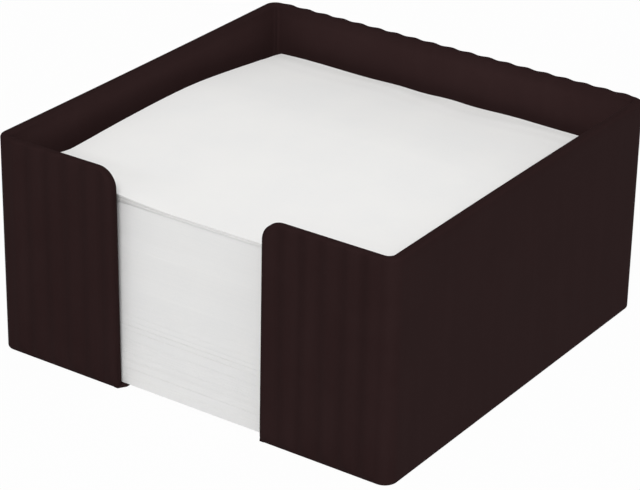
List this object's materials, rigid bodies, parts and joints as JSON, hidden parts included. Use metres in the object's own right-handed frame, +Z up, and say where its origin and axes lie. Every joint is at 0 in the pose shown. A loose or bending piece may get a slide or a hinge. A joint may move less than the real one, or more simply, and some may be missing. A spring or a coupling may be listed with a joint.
{
  "type": "memo cube holder",
  "caption": "Square open desk tray with fluted front and back walls and a flared front slot, filled with a block of loose square note sheets.",
  "frame": {"origin": "centre of the outer box's underside, where the holder stands on the desk", "axes": "+Z up, -Y out through the front wall with the slot, +X to the right seen from the front"},
  "size_m": [0.1, 0.1, 0.05],
  "materials": {
    "holder_plastic": "very dark brown moulded polystyrene, satin, with a fine even grain",
    "note_paper": "uncoated white writing paper, matte"
  },
  "bodies": {
    "holder": {"holder": "holder_plastic"},
    "note_block": {"note_bundle_01": "note_paper", "note_bundle_02": "note_paper", "note_bundle_03": "note_paper", "note_bundle_04": "note_paper", "note_bundle_05": "note_paper", "note_bundle_06": "note_paper", "note_bundle_07": "note_paper", "note_bundle_08": "note_paper", "note_bundle_09": "note_paper", "note_bundle_10": "note_paper", "note_bundle_11": "note_paper", "note_bundle_12": "note_paper", "note_bundle_13": "note_paper", "note_bundle_14": "note_paper"},
    "sheet_1": {"note_sheet_1": "note_paper"},
    "sheet_2": {"note_sheet_2": "note_paper"},
    "sheet_3": {"note_sheet_3": "note_paper"},
    "sheet_4": {"note_sheet_4": "note_paper"},
    "sheet_5": {"note_sheet_5": "note_paper"},
    "sheet_6": {"note_sheet_6": "note_paper"}
  },
  "joints": [
    {"name": "note_block_lift", "type": "slide", "parent": "holder", "child": "note_block", "axis": [0, 0, 1], "range_m": [0, 0.052]},
    {"name": "sheet_1_lift", "type": "slide", "parent": "note_block", "child": "sheet_1", "axis": [0, 0, 1], "range_m": [0, 0.015]},
    {"name": "sheet_2_lift", "type": "slide", "parent": "sheet_1", "child": "sheet_2", "axis": [0, 0, 1], "range_m": [0, 0.015]},
    {"name": "sheet_3_lift", "type": "slide", "parent": "sheet_2", "child": "sheet_3", "axis": [0, 0, 1], "range_m": [0, 0.015]},
    {"name": "sheet_4_lift", "type": "slide", "parent": "sheet_3", "child": "sheet_4", "axis": [0, 0, 1], "range_m": [0, 0.015]},
    {"name": "sheet_5_lift", "type": "slide", "parent": "sheet_4", "child": "sheet_5", "axis": [0, 0, 1], "range_m": [0, 0.015]},
    {"name": "sheet_6_lift", "type": "slide", "parent": "sheet_5", "child": "sheet_6", "axis": [0, 0, 1], "range_m": [0, 0.015]}
  ]
}
